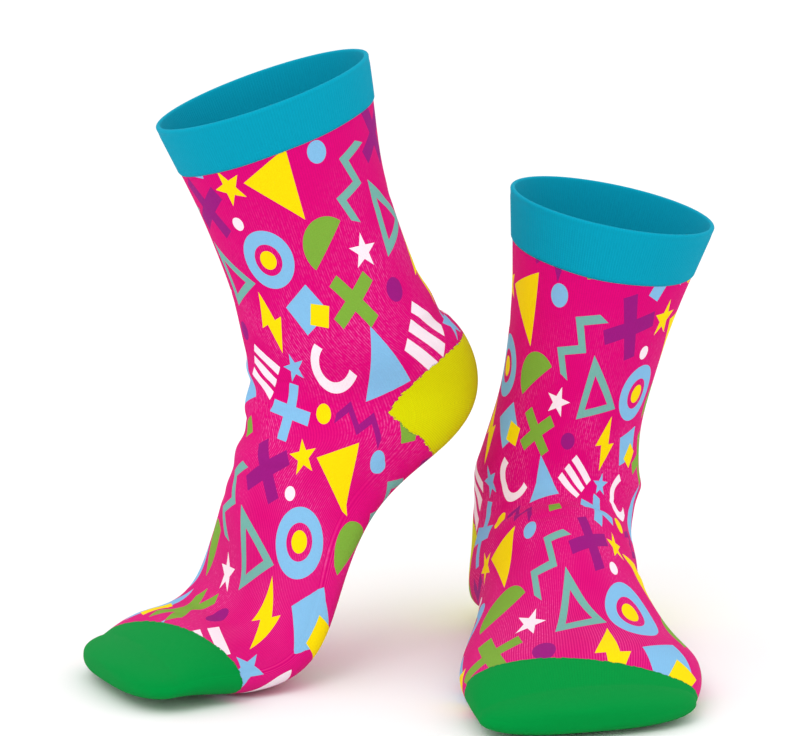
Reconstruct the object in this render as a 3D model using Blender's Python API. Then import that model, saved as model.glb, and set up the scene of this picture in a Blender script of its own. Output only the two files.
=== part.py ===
"""A pair of knitted crew socks, hollow, in the pose in which they are worn.

The left sock stands flat. The right sock is up on its toes, turned outwards, with its
foot bent at the ball. Each sock is a cuff, a leg, a foot, a heel pocket in the window that
they leave at the back of the ankle, and a closed toe cap.

The frame: metres, +Z up, toes towards -Y, the wearer's left at +X. The origin is the
middle of the left sock's cuff opening, where the wearer's leg holds it up.
"""
from math import pi

import bpy
import numpy as np

MM = 0.001  # the tables below are in millimetres and degrees

# Cloth
TUBE_WALL = 1.4  # single knit of the leg and foot
POCKET_WALL = 1.6  # denser knit of the heel and toe
CUFF_WALL = 2.4  # the welt is two layers
CUFF_PROUD = 0.6  # how far the welt stands out past the leg
SEAM_GAP = 0.4  # between two pieces that are knitted together

# Mesh
COLUMNS = 32  # around a sock
LEG_STEPS = 16  # along the tube, cuff to ankle
FOOT_STEPS = 10  # along the tube, ankle to toe seam
HEEL_STEPS = 6
TOE_STEPS = 6
CUFF_STEPS = 4
ROLL_STEPS = 4  # round the fold at the cuff's top

# A sock's own shape: one row for each section, from the cuff down the leg, round the ankle
# and along the foot to the toes. The foot stands flat at z = 0 and points to -Y. A section
# is an oval from its front point (instep side) to its back point (heel or sole side).
#   leg, toe   share of the ankle's and of the toes' bend that the section takes
#   half       half its width
#   inward     shift towards the other foot
#   taper      how much narrower it is on the instep side
#   sole       how square it is on the sole side, 0 to 1
#   slant      how far the outer side lags behind the inner one, per width
SECTION_COLUMNS = (
    "leg", "toe", "front_y", "front_z", "back_y", "back_z",
    "half", "inward", "taper", "sole", "slant",
)
SECTIONS = (
    # leg   toe  front y, z      back y, z       half inward taper sole slant
    (1.00, 0.0, -47.5, 205.0, 58.0, 213.0, 51.0, 0.0, 0.00, 0.0, 0.00),  # rim of the cuff
    (1.00, 0.0, -43.0, 183.0, 55.0, 188.0, 45.5, 0.0, 0.00, 0.0, 0.00),  # edge of the cuff
    (1.00, 0.0, -38.5, 158.5, 52.0, 162.5, 40.5, 0.0, 0.00, 0.0, 0.00),  # calf
    (1.00, 0.0, -35.5, 133.0, 52.0, 136.0, 37.5, 0.0, 0.00, 0.0, 0.00),  # shank
    (0.95, 0.0, -34.0, 112.0, 55.0, 109.0, 37.0, 0.0, 0.00, 0.0, 0.00),  # above the ankle
    (0.70, 0.0, -34.0, 94.5, 61.5, 79.5, 40.5, -1.0, 0.00, 0.0, 0.00),  # ankle
    (0.45, 0.0, -36.5, 85.0, 68.5, 55.5, 41.5, -1.0, 0.00, 0.1, 0.00),  # top of the heel
    (0.20, 0.0, -46.0, 79.5, 66.0, 27.5, 40.0, 0.5, 0.05, 0.2, 0.00),  # round of the heel
    (0.00, 0.0, -57.5, 76.0, 48.5, 8.5, 41.0, 3.0, 0.05, 0.4, 0.00),  # under the heel
    (0.00, 0.0, -72.0, 70.0, 15.0, 9.0, 40.5, 3.0, 0.15, 0.7, 0.00),  # instep
    (0.00, 0.0, -90.5, 55.0, -37.0, 16.5, 39.0, 2.5, 0.20, 0.9, 0.00),  # arch
    (0.00, 0.1, -107.0, 39.5, -87.0, 7.5, 47.0, 3.5, 0.20, 1.0, 0.09),  # behind the ball
    (0.00, 0.57, -132.5, 32.0, -119.0, 0.5, 54.0, 3.0, 0.15, 1.0, 0.18),  # ball
    (0.00, 0.95, -159.0, 29.0, -157.0, 0.0, 54.0, 4.0, 0.07, 1.0, 0.22),  # toes
    (0.00, 1.02, -182.5, 19.0, -181.0, 1.5, 49.0, 5.5, 0.09, 1.0, 0.24),  # front of the toes
)
LAST_SECTION = len(SECTIONS) - 1
TIP = 20.5  # how far the rounded end reaches past the last section
TIP_ROW = LAST_SECTION + 1.0  # row number of the tip itself
TIP_TURN = 88.0  # the end's curve stops this many degrees round, at a small flat
TIP_PLAN_POWER = 0.74  # the lower, the squarer the end: seen from above
TIP_SIDE_POWER = 0.5  # and seen from the side
TIP_DROP = 0.15  # how much more its upper side comes down, so that it runs on from the instep
SOLE_SQUARENESS = 1.2  # added to the oval's power where the sole column is 1
ANKLE_PIVOT = np.array((0.0, 4.0, 78.0))
BALL_PIVOT = np.array((0.0, -132.0, 12.0))

# Where pieces meet, as row numbers in the table of sections
RIM_ROW = 0.0
HEM_ROW = 0.93  # lower edge of the cuff
HEM_DIP = 0.12  # its front is lower and its back higher
HEEL_CORNER_ROW = 7.45  # the window's corners, at the sides of the ankle
HEEL_RISE = 1.3  # window's top at the back of the leg, above its corners
HEEL_FALL = 1.7  # window's end under the sole, below its corners
HEEL_COLUMNS = 9  # columns from the middle of the back to a corner
HEEL_REACH = 2.0 * pi * HEEL_COLUMNS / COLUMNS  # the same as an angle
HEEL_SQUARENESS = 4.7
HEEL_HALF_WIDTH = 40.5  # half the sock's width at the window's corners
TOE_ROW = 13.3
TOE_LAG = 0.52  # the seam lies further back on the inner side, further on at the outer side

# How each sock stands. side is -1 where its inner side faces -X; stretch lengthens the leg
# above the ankle; the angles bend the leg and the toes and then turn the whole sock.
SOCKS = {
    "left": {
        "side": -1, "place": (79.6, 72.0, -149.4), "yaw": 3.0, "pitch": -2.0,
        "lean": 10.4, "ankle": 5.0, "twist": 0.0, "toe": -2.0, "stretch": 1.1,
    },
    "right": {
        "side": 1, "place": (-0.6, 65.9, -60.4), "yaw": -50.0, "pitch": 37.5,
        "lean": -3.5, "ankle": -21.6, "twist": -31.0, "toe": 37.8, "stretch": 1.0,
    },
}

# The largest folds. Each is a soft ridge or, with a negative height, a trough that runs
# part of the way round, at its middle's row and angle (0 front, 90 inner side, 180 back).
#   sock, row, angle, reach each way (degrees), climb (rows per turn), width (rows), height
FOLDS = (
    ("left", 4.6, 178, 60, 0.4, 0.30, -1.0),
    ("left", 5.2, 184, 65, -0.4, 0.30, 1.0),
    ("left", 5.3, 80, 50, -0.3, 0.32, 1.0),
    ("left", 6.2, 82, 50, 0.3, 0.34, -1.1),
    ("left", 5.4, -75, 60, 0.3, 0.32, 1.2),
    ("left", 6.2, -80, 60, -0.3, 0.32, -0.4),
    ("left", 7.1, 5, 75, 0.4, 0.36, -0.6),
    ("left", 7.9, -5, 80, -0.4, 0.38, 0.5),
    ("left", 9.2, -60, 60, 0.3, 0.34, -1.1),
    ("right", 4.7, 180, 70, 0.4, 0.30, 1.1),
    ("right", 5.3, 172, 75, -0.5, 0.30, -1.2),
    ("right", 5.8, -5, 65, -0.3, 0.30, 1.1),
    ("right", 6.4, -8, 70, 0.3, 0.30, -1.3),
    ("right", 7.1, -2, 65, -0.4, 0.34, 1.0),
    ("right", 8.6, -10, 65, 0.3, 0.34, 1.4),
    ("right", 9.2, -14, 65, 0.3, 0.32, -1.5),
)

COLOURS = {
    "cuff_knit": (4, 161, 190),
    "body_knit": (227, 15, 125),
    "heel_knit": (219, 212, 5),
    "toe_knit": (0, 149, 63),
}
ROUGHNESS = 0.85


def clear_scene():
    for thing in list(bpy.data.objects):
        bpy.data.objects.remove(thing, do_unlink=True)


def spline_bends(rows):
    """Second differences of a natural cubic spline through the rows."""
    count = len(rows)
    system = np.eye(count)
    pull = np.zeros_like(rows)
    for i in range(1, count - 1):
        system[i, i - 1] = system[i, i + 1] = 1.0
        system[i, i] = 4.0
        pull[i] = 6.0 * (rows[i + 1] - 2.0 * rows[i] + rows[i - 1])
    return np.linalg.solve(system, pull)


SECTION_ROWS = np.array(SECTIONS)
SECTION_BENDS = spline_bends(SECTION_ROWS)


def section_at(row):
    """Every column of the table at fractional rows, on a smooth curve through them."""
    low = np.clip(np.floor(row).astype(int), 0, LAST_SECTION - 1)
    b = (row - low)[..., None]
    a = 1.0 - b
    values = a * SECTION_ROWS[low] + b * SECTION_ROWS[low + 1]
    values += ((a**3 - a) * SECTION_BENDS[low] + (b**3 - b) * SECTION_BENDS[low + 1]) / 6.0
    return dict(zip(SECTION_COLUMNS, np.moveaxis(values, -1, 0)))


def turned(points, pivot, axis, degrees):
    """Points turned about a pivot, each by its own angle, round axis 0, 1 or 2."""
    first, second = (axis + 1) % 3, (axis + 2) % 3
    angle = np.radians(degrees)
    arm = points - pivot
    result = arm.copy()
    result[..., first] = np.cos(angle) * arm[..., first] - np.sin(angle) * arm[..., second]
    result[..., second] = np.sin(angle) * arm[..., first] + np.cos(angle) * arm[..., second]
    return result + pivot


def power(value, exponent):
    """A signed power, which makes an oval squarer."""
    return np.sign(value) * np.abs(value) ** exponent


def smooth_surface(sock, row, angle):
    """Points of the sock's outer surface without folds, at rows and angles (radians)."""
    pose = SOCKS[sock]
    row, angle = np.broadcast_arrays(np.asarray(row, float), np.asarray(angle, float))
    section = section_at(np.minimum(row, LAST_SECTION))
    dome = np.clip(row - LAST_SECTION, 0.0, 1.0) * np.radians(TIP_TURN)
    wide = np.cos(dome) ** TIP_PLAN_POWER
    high = np.cos(dome) ** TIP_SIDE_POWER
    reach = TIP * np.sin(dome)

    squareness = np.where(np.cos(angle) > 0, 0.0, np.clip(section["sole"], 0.0, 1.0))
    exponent = 2.0 / (2.0 + SOLE_SQUARENESS * squareness)
    along = power(np.cos(angle), exponent)
    across = power(np.sin(angle), exponent)
    middle_y = (section["front_y"] + section["back_y"]) / 2.0
    middle_z = (section["front_z"] + section["back_z"]) / 2.0
    half_y = (section["front_y"] - section["back_y"]) / 2.0
    half_z = (section["front_z"] - section["back_z"]) / 2.0
    depth = np.hypot(half_y, half_z)

    x = wide * section["half"] * across * (1.0 - section["taper"] * along)
    x = x + section["inward"]
    high = high * (1.0 - TIP_DROP * np.sin(dome) * (along > 0))
    y = middle_y + high * along * half_y - reach * half_z / depth - section["slant"] * x
    z = middle_z + high * along * half_z + reach * half_y / depth
    above = np.maximum(z - ANKLE_PIVOT[2], 0.0)
    z = z + (pose["stretch"] - 1.0) * above * section["leg"]
    points = np.stack((x * pose["side"], y, z), axis=-1)

    points = turned(points, BALL_PIVOT, 0, -pose["toe"] * section["toe"])
    points = turned(points, ANKLE_PIVOT, 2, pose["twist"] * section["leg"])
    points = turned(points, ANKLE_PIVOT, 0, pose["ankle"] * section["leg"])
    points = turned(points, ANKLE_PIVOT, 1, pose["lean"] * section["leg"])
    points = turned(points, 0.0, 0, pose["pitch"])
    points = turned(points, 0.0, 2, pose["yaw"])
    return points + np.array(pose["place"])


def mouth_centre(sock):
    """The middle of the cuff's opening."""
    front, back = smooth_surface(sock, RIM_ROW, np.array((0.0, pi)))
    return (front + back) / 2.0


ORIGIN = mouth_centre("left")


def surface_frame(sock, row, angle):
    """Unit vectors outwards and down the sock, and millimetres per row."""
    step = 0.02
    ahead = np.minimum(row + step, TIP_ROW)
    behind = row - step
    inside = np.maximum(behind, RIM_ROW)
    down = smooth_surface(sock, ahead, angle) - smooth_surface(sock, inside, angle)
    per_row = np.linalg.norm(down, axis=-1, keepdims=True)
    around = smooth_surface(sock, row, angle + step) - smooth_surface(sock, row, angle - step)
    out = np.cross(down, around) * SOCKS[sock]["side"]
    out /= np.linalg.norm(out, axis=-1, keepdims=True)
    return out, down / per_row, per_row[..., 0] / (ahead - inside)


def fold_height(sock, row, angle):
    """How far the folds lift the cloth."""
    height = np.zeros(np.shape(row))
    for owner, middle_row, middle, reach, climb, width, lift in FOLDS:
        if owner != sock:
            continue
        offset = (np.degrees(angle) - middle + 180.0) % 360.0 - 180.0
        fade = np.cos(np.clip(offset / reach, -1.0, 1.0) * pi / 2.0) ** 2
        crest = middle_row + climb * offset / 360.0
        height += lift * fade * np.exp(-(((row - crest) / width) ** 2))
    return height


def cloth_point(sock, row, angle, out=0.0, up=0.0):
    """A point of the cloth, moved out from its surface and up along it, in metres."""
    row, angle = np.broadcast_arrays(np.asarray(row, float), np.asarray(angle, float))
    outwards, down, _ = surface_frame(sock, row, angle)
    lift = np.asarray(fold_height(sock, row, angle) + out)[..., None]
    point = smooth_surface(sock, row, angle) + outwards * lift
    point = point - down * np.asarray(up)[..., None]
    return (point - ORIGIN) * MM


def hem_edge(angle):
    """Row of the cuff's lower edge."""
    return HEM_ROW + HEM_DIP * np.cos(angle)


def heel_top_edge(angle):
    """Row where the leg ends and the heel window begins."""
    from_back = np.minimum(np.abs(angle - pi) / HEEL_REACH, 1.0)
    return HEEL_CORNER_ROW - HEEL_RISE * (1.0 - from_back**HEEL_SQUARENESS)


def heel_bottom_edge(angle):
    """Row where the heel window ends and the sole begins."""
    from_back = np.minimum(np.abs(angle - pi) / HEEL_REACH, 1.0)
    return HEEL_CORNER_ROW + HEEL_FALL * (1.0 - from_back**HEEL_SQUARENESS)


def toe_edge(angle):
    """Row of the toe seam."""
    return TOE_ROW - TOE_LAG * np.sin(angle)


def past_gap(sock, edge, angle, direction):
    """The row that is SEAM_GAP past an edge, square to it: direction 1 is towards the toes."""
    nudge = 0.01
    before, after = angle - nudge, angle + nudge
    run = smooth_surface(sock, edge(after), after) - smooth_surface(sock, edge(before), before)
    _, down, per_row = surface_frame(sock, np.asarray(edge(angle)), np.asarray(angle))
    sine = np.linalg.norm(np.cross(run, down)) / np.linalg.norm(run)
    return edge(angle) + direction * SEAM_GAP / (per_row * sine)


def column_angle(column):
    return 2.0 * pi * column / COLUMNS


def make_material(name, colour):
    srgb = np.array(colour) / 255.0
    linear = np.where(srgb <= 0.04045, srgb / 12.92, ((srgb + 0.055) / 1.055) ** 2.4)
    material = bpy.data.materials.new(name)
    material.use_nodes = True
    shader = material.node_tree.nodes["Principled BSDF"]
    shader.inputs["Base Color"].default_value = (*linear, 1.0)
    shader.inputs["Roughness"].default_value = ROUGHNESS
    shader.inputs["Metallic"].default_value = 0.0
    return material


def make_object(name, points, faces, material):
    mesh = bpy.data.meshes.new(name)
    mesh.from_pydata([tuple(point) for point in points], [], faces)
    mesh.materials.append(material)
    mesh.shade_smooth()
    mesh.set_sharp_from_angle(angle=np.radians(50.0))
    thing = bpy.data.objects.new(name, mesh)
    bpy.context.scene.collection.objects.link(thing)
    return thing


def grid_faces(table, closed):
    """Faces between the rows of a table of point numbers; repeated numbers are dropped."""
    faces = []
    for upper, lower in zip(table, table[1:]):
        width = len(upper)
        for j in range(width if closed else width - 1):
            k = (j + 1) % width
            corners = (upper[j], lower[j], lower[k], upper[k])
            face = list(dict.fromkeys(corners))
            if len(face) > 2:
                faces.append(face)
    return faces


def thickened(sock, rows, angles, faces, wall):
    """A sheet of cloth given its wall inwards, with every open edge closed."""
    rows, angles = np.array(rows), np.array(angles)
    outer = cloth_point(sock, rows, angles)
    inner = cloth_point(sock, rows, angles, out=-wall)
    count = len(outer)
    used = {(a, b) for face in faces for a, b in zip(face, face[1:] + face[:1])}
    walls = [(b, a, a + count, b + count) for a, b in sorted(used) if (b, a) not in used]
    inside = [[i + count for i in reversed(face)] for face in faces]
    return np.concatenate((outer, inner)), faces + inside + walls


def outward(sock, faces):
    """The two socks are mirror images, so one of them has its faces turned over."""
    return faces if SOCKS[sock]["side"] > 0 else [tuple(reversed(face)) for face in faces]


class Sheet:
    """Collects the points of a sheet of cloth by row and angle."""

    def __init__(self):
        self.rows = []
        self.angles = []

    def add(self, row, angle):
        self.rows.append(float(row))
        self.angles.append(float(angle))
        return len(self.rows) - 1


def make_tube(sock, piece, edges, steps, material):
    """A run of whole rings between two edges, each given as a row for a column."""
    sheet = Sheet()
    table = []
    for i in range(steps + 1):
        line = []
        for column in range(COLUMNS):
            start, end = (edge(column) for edge in edges)
            row = start + (end - start) * i / steps
            line.append(sheet.add(row, column_angle(column)))
        table.append(line)
    faces = grid_faces(table, True)
    points, faces = thickened(sock, sheet.rows, sheet.angles, faces, TUBE_WALL)
    return make_object(f"{sock}_sock_{piece}", points, outward(sock, faces), material)


def make_leg(sock, material):
    """Leg, from the cuff to the heel window and, in front of it, to the foot."""

    def top(column):
        return past_gap(sock, hem_edge, column_angle(column), 1)

    def bottom(column):
        return heel_top_edge(column_angle(column))

    return make_tube(sock, "leg", (top, bottom), LEG_STEPS, material)


def make_foot(sock, material):
    """Foot, from the leg and the heel window to the toe seam."""

    def top(column):
        angle = column_angle(column)
        if abs(column - COLUMNS // 2) < HEEL_COLUMNS:
            return heel_bottom_edge(angle)
        return past_gap(sock, heel_bottom_edge, angle, 1)

    def bottom(column):
        return toe_edge(column_angle(column))

    return make_tube(sock, "foot", (top, bottom), FOOT_STEPS, material)


def make_heel(sock, material):
    """Heel pocket: columns between the window's edges, closing to a point at each corner."""
    sheet = Sheet()
    corner_gap = 2.0 * SEAM_GAP / HEEL_HALF_WIDTH
    first_corner = sheet.add(HEEL_CORNER_ROW, pi - HEEL_REACH + corner_gap)
    last_corner = sheet.add(HEEL_CORNER_ROW, pi + HEEL_REACH - corner_gap)
    table = [[first_corner] for _ in range(HEEL_STEPS + 1)]
    middle = COLUMNS // 2
    for column in range(middle - HEEL_COLUMNS + 1, middle + HEEL_COLUMNS):
        angle = column_angle(column)
        top = past_gap(sock, heel_top_edge, angle, 1)
        bottom = past_gap(sock, heel_bottom_edge, angle, -1)
        for i, line in enumerate(table):
            line.append(sheet.add(top + (bottom - top) * i / HEEL_STEPS, angle))
    for line in table:
        line.append(last_corner)
    faces = grid_faces(table, False)
    points, faces = thickened(sock, sheet.rows, sheet.angles, faces, POCKET_WALL)
    return make_object(f"{sock}_sock_heel", points, outward(sock, faces), material)


def make_toe(sock, material):
    """Toe cap: rows from the seam to a small flat at the tip."""
    sheet = Sheet()
    table = []
    for i in range(TOE_STEPS + 1):
        line = []
        for column in range(COLUMNS):
            angle = column_angle(column)
            start = past_gap(sock, toe_edge, angle, 1)
            line.append(sheet.add(start + (TIP_ROW - start) * i / TOE_STEPS, angle))
        table.append(line)
    faces = grid_faces(table, True) + [table[-1][::-1]]
    points, faces = thickened(sock, sheet.rows, sheet.angles, faces, POCKET_WALL)
    return make_object(f"{sock}_sock_toe", points, outward(sock, faces), material)


def make_cuff(sock, material):
    """Welt: a closed profile up the outside, over the rounded fold and down the inside."""
    profile = []  # share of the way down from the rim, distance out, distance up past the rim
    radius = CUFF_WALL / 2.0
    core = CUFF_PROUD - radius
    for i in range(CUFF_STEPS + 1):
        share = i / CUFF_STEPS
        profile.append((1.0 - share, CUFF_PROUD * min(1.0, 3.0 * share), 0.0))
    for i in range(1, ROLL_STEPS):
        turn = pi * i / ROLL_STEPS
        profile.append((0.0, core + radius * np.cos(turn), radius * np.sin(turn)))
    for i in range(CUFF_STEPS + 1):
        profile.append((i / CUFF_STEPS, core - radius, 0.0))
    angles = column_angle(np.arange(COLUMNS))
    rings = [
        cloth_point(sock, RIM_ROW + (hem_edge(angles) - RIM_ROW) * share, angles, out, up)
        for share, out, up in profile
    ]
    table = np.arange(len(profile) * COLUMNS).reshape(len(profile), COLUMNS).tolist()
    faces = [tuple(face) for face in grid_faces(table[::-1] + table[-1:], True)]
    return make_object(
        f"{sock}_sock_cuff", np.concatenate(rings), outward(sock, faces), material
    )


def main():
    clear_scene()
    knits = {name: make_material(name, colour) for name, colour in COLOURS.items()}
    for sock in SOCKS:
        make_cuff(sock, knits["cuff_knit"])
        make_leg(sock, knits["body_knit"])
        make_foot(sock, knits["body_knit"])
        make_heel(sock, knits["heel_knit"])
        make_toe(sock, knits["toe_knit"])


main()
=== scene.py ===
"""Looks of a pair of knitted crew socks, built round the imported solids.

Each sock is four pieces of knitting: a doubled cuff with fine ribs, a printed leg-and-foot
tube, a heel pocket and a toe cap. The tables are in millimetres and degrees. The frame is
the part's own: metres, +Z up, the left sock's toes towards -Y, the wearer's left at +X.
"""
from math import atan2, cos, pi, radians, sin

import bpy
import numpy as np
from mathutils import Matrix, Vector
from mathutils.kdtree import KDTree

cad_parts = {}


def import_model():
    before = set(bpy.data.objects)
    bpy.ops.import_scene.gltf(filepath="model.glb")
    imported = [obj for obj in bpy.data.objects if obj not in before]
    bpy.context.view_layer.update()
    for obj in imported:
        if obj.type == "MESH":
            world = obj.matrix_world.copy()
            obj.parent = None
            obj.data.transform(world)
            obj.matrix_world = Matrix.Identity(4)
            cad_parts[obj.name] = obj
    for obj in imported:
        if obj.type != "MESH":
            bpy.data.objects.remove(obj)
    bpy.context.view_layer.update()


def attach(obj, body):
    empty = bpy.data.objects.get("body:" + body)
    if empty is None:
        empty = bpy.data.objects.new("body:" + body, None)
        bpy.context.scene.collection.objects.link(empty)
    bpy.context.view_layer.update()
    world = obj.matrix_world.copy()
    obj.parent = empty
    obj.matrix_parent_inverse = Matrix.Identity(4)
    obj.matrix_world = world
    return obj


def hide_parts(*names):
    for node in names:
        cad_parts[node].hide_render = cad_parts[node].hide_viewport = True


MM = 0.001

# Cloth
TUBE_WALL = 1.4
POCKET_WALL = 1.6
CUFF_WALL = 2.4  # the welt is two layers
CUFF_PROUD = 0.6
CUFF_DEPTH = 22.0
CUFF_EDGE_PROUD = 0.15  # at the hem, where the cuff turns in to the leg
CUFF_TURN_IN = 0.9  # height over which it turns in
CUFF_LEDGE = 0.125  # a shallow dip under the fold at the top
CUFF_LEDGE_PLACE = 2.2
CUFF_LEDGE_WIDTH = 1.2
WALES = 240  # needles round a sock
COURSE_PITCH = 1.1
JOIN = 0.004  # rows left between two colours, a hair's breadth

# Mesh
COLUMNS = 192  # round a sock; a multiple of 32
LEG_STEPS = 84
FOOT_STEPS = 111
HEEL_STEPS = 44
TOE_STEPS = 44
FLAT_SHARE = 3  # the print is laid out on a grid this many times coarser
RIB_COLUMNS = 4  # columns to a rib of the cuff
CUFF_STEPS = 24
ROLL_STEPS = 8
LINING_STEPS = 12
RIB_HEIGHT = 0.13
KNIT_ROUGHNESS = 0.85
YARN_SHARE = 0.9  # how much light a yarn returns, beside its colour in full light
EDGE_POINTS = 1200  # on each line that a distance is measured from
FOOT_MARK = 1000  # added to the foot's grid rows, to tell them from the leg's
EDGE_ANGLE = 60.0  # sharper edges than this are not smoothed

# A sock's own shape: one row for each section, from the cuff down the leg, round the ankle
# and along the foot to the toes.
SECTION_COLUMNS = (
    "leg", "toe", "front_y", "front_z", "back_y", "back_z",
    "half", "inward", "taper", "sole", "slant",
)
SECTIONS = (
    # leg   toe  front y, z      back y, z       half inward taper sole slant
    (1.00, 0.0, -47.5, 205.0, 58.0, 213.0, 51.0, 0.0, 0.00, 0.0, 0.00),  # rim of the cuff
    (1.00, 0.0, -43.0, 183.0, 55.0, 188.0, 45.5, 0.0, 0.00, 0.0, 0.00),  # edge of the cuff
    (1.00, 0.0, -38.5, 158.5, 52.0, 162.5, 40.5, 0.0, 0.00, 0.0, 0.00),  # calf
    (1.00, 0.0, -35.5, 133.0, 52.0, 136.0, 37.5, 0.0, 0.00, 0.0, 0.00),  # shank
    (0.95, 0.0, -34.0, 112.0, 55.0, 109.0, 37.0, 0.0, 0.00, 0.0, 0.00),  # above the ankle
    (0.70, 0.0, -34.0, 94.5, 61.5, 79.5, 40.5, -1.0, 0.00, 0.0, 0.00),  # ankle
    (0.45, 0.0, -36.5, 85.0, 68.5, 55.5, 41.5, -1.0, 0.00, 0.1, 0.00),  # top of the heel
    (0.20, 0.0, -46.0, 79.5, 66.0, 27.5, 40.0, 0.5, 0.05, 0.2, 0.00),  # round of the heel
    (0.00, 0.0, -57.5, 76.0, 48.5, 8.5, 41.0, 3.0, 0.05, 0.4, 0.00),  # under the heel
    (0.00, 0.0, -72.0, 70.0, 15.0, 9.0, 40.5, 3.0, 0.15, 0.7, 0.00),  # instep
    (0.00, 0.0, -90.5, 55.0, -37.0, 16.5, 39.0, 2.5, 0.20, 0.9, 0.00),  # arch
    (0.00, 0.1, -107.0, 39.5, -87.0, 7.5, 47.0, 3.5, 0.20, 1.0, 0.09),  # behind the ball
    (0.00, 0.57, -132.5, 32.0, -119.0, 0.5, 54.0, 3.0, 0.15, 1.0, 0.18),  # ball
    (0.00, 0.95, -159.0, 29.0, -157.0, 0.0, 54.0, 4.0, 0.07, 1.0, 0.22),  # toes
    (0.00, 1.02, -182.5, 19.0, -181.0, 1.5, 49.0, 5.5, 0.09, 1.0, 0.24),  # front of the toes
)
LAST_SECTION = len(SECTIONS) - 1
TIP = 20.5
TIP_ROW = LAST_SECTION + 1.0
TIP_TURN = 88.0
TIP_PLAN_POWER = 0.74
TIP_SIDE_POWER = 0.5
TIP_DROP = 0.15
SOLE_SQUARENESS = 1.2
ANKLE_PIVOT = np.array((0.0, 4.0, 78.0))
BALL_PIVOT = np.array((0.0, -132.0, 12.0))

RIM_ROW = 0.0
HEM_ROW = 0.93
HEM_DIP = 0.12
HEEL_CORNER_ROW = 7.45
HEEL_RISE = 1.3
HEEL_FALL = 1.7
HEEL_SHARE = 9 / 32  # of the sock's round, from the middle of the back to a heel corner
HEEL_SQUARENESS = 4.7
TOE_ROW = 13.3
TOE_LAG = 0.52

SOCKS = {
    "left": {
        "side": -1, "place": (79.6, 72.0, -149.4), "yaw": 3.0, "pitch": -2.0,
        "lean": 10.4, "ankle": 5.0, "twist": 0.0, "toe": -2.0, "stretch": 1.1,
    },
    "right": {
        "side": 1, "place": (-0.6, 65.9, -60.4), "yaw": -50.0, "pitch": 37.5,
        "lean": -3.5, "ankle": -21.6, "twist": -31.0, "toe": 37.8, "stretch": 1.0,
    },
}

# Soft ridges and, with a negative height, troughs. The broad ones are the solids' own.
#   sock, row, angle, reach each way (degrees), climb (rows per turn), width (rows), height
FOLDS = (
    ("left", 4.6, 178, 60, 0.4, 0.30, -1.0),
    ("left", 5.2, 184, 65, -0.4, 0.30, 1.0),
    ("left", 5.3, 80, 50, -0.3, 0.32, 1.0),
    ("left", 6.2, 82, 50, 0.3, 0.34, -1.1),
    ("left", 5.4, -75, 60, 0.3, 0.32, 1.2),
    ("left", 6.2, -80, 60, -0.3, 0.32, -0.4),
    ("left", 7.1, 5, 75, 0.4, 0.36, -0.6),
    ("left", 7.9, -5, 80, -0.4, 0.38, 0.5),
    ("left", 9.2, -60, 60, 0.3, 0.34, -1.1),
    ("right", 4.7, 180, 70, 0.4, 0.30, 1.1),
    ("right", 5.3, 172, 75, -0.5, 0.30, -1.2),
    ("right", 5.8, -5, 65, -0.3, 0.30, 1.1),
    ("right", 6.4, -8, 70, 0.3, 0.30, -1.3),
    ("right", 7.1, -2, 65, -0.4, 0.34, 1.0),
    ("right", 8.6, -10, 65, 0.3, 0.34, 1.4),
    ("right", 9.2, -14, 65, 0.3, 0.32, -1.5),
)
# The finer ones, in the same columns
CREASES = (
    ("left", 3.7, 150, 38, 1.2, 0.13, -0.45),
    ("left", 4.2, -140, 44, -1.0, 0.12, 0.45),
    ("left", 5.0, 205, 34, 1.6, 0.12, -0.60),
    ("left", 5.7, 168, 40, -1.3, 0.13, -0.70),
    ("left", 5.9, 30, 34, 1.5, 0.12, -0.50),
    ("left", 6.55, -35, 42, -1.2, 0.13, -0.65),
    ("left", 6.75, 48, 30, 1.0, 0.11, 0.50),
    ("left", 7.45, -22, 46, 0.9, 0.13, -0.65),
    ("left", 7.6, 40, 28, -1.4, 0.12, -0.60),
    ("left", 8.5, 18, 40, 1.1, 0.14, -0.50),
    ("left", 8.7, -52, 30, 1.6, 0.12, -0.65),
    ("left", 9.7, -70, 30, -1.2, 0.14, 0.60),
    ("left", 10.3, 75, 26, 1.4, 0.15, -0.45),
    ("left", 12.1, -62, 24, -1.0, 0.13, -0.45),
    ("right", 2.6, 160, 36, 1.3, 0.12, -0.45),
    ("right", 4.1, 200, 44, -1.2, 0.12, -0.65),
    ("right", 4.9, 140, 34, 1.5, 0.12, 0.60),
    ("right", 5.65, 190, 40, 1.1, 0.12, 0.70),
    ("right", 5.9, 38, 32, -1.3, 0.12, -0.50),
    ("right", 6.15, -40, 36, 1.4, 0.12, -0.60),
    ("right", 6.8, 30, 40, 1.0, 0.12, -0.65),
    ("right", 7.5, -35, 38, -1.1, 0.13, -0.65),
    ("right", 7.9, 22, 44, 1.3, 0.13, -0.60),
    ("right", 8.95, 34, 26, 1.5, 0.12, -0.60),
    ("right", 9.7, -30, 40, -0.9, 0.14, -0.65),
    ("right", 11.6, -8, 44, 0.6, 0.14, -0.65),
    ("right", 12.2, 6, 50, -0.5, 0.15, -0.80),
    ("right", 12.7, -10, 46, 0.6, 0.13, -0.50),
)

# Yarn and print colours, and one pink as it looks in shade for painted shade, sRGB
COLOURS = {
    "teal": (4, 161, 190),
    "pink": (227, 6, 122),
    # The pink as it looks in shade: painted shade in the grooves and on the inside of the tube
    "pink_in_shade": (205, 8, 116),
    "pink_light": (247, 104, 176),
    "lime": (224, 225, 3),
    "green": (0, 149, 63),
    "yellow": (254, 226, 8),
    "sky": (134, 193, 235),
    "white": (254, 239, 248),
    "leaf": (128, 176, 62),
    "purple": (158, 27, 130),
    "sage": (120, 182, 172),
    "seam": (86, 30, 70),
}

# The print: figures in a repeat, set out over the whole tube
REPEAT = (103.0, 128.0)
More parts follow.
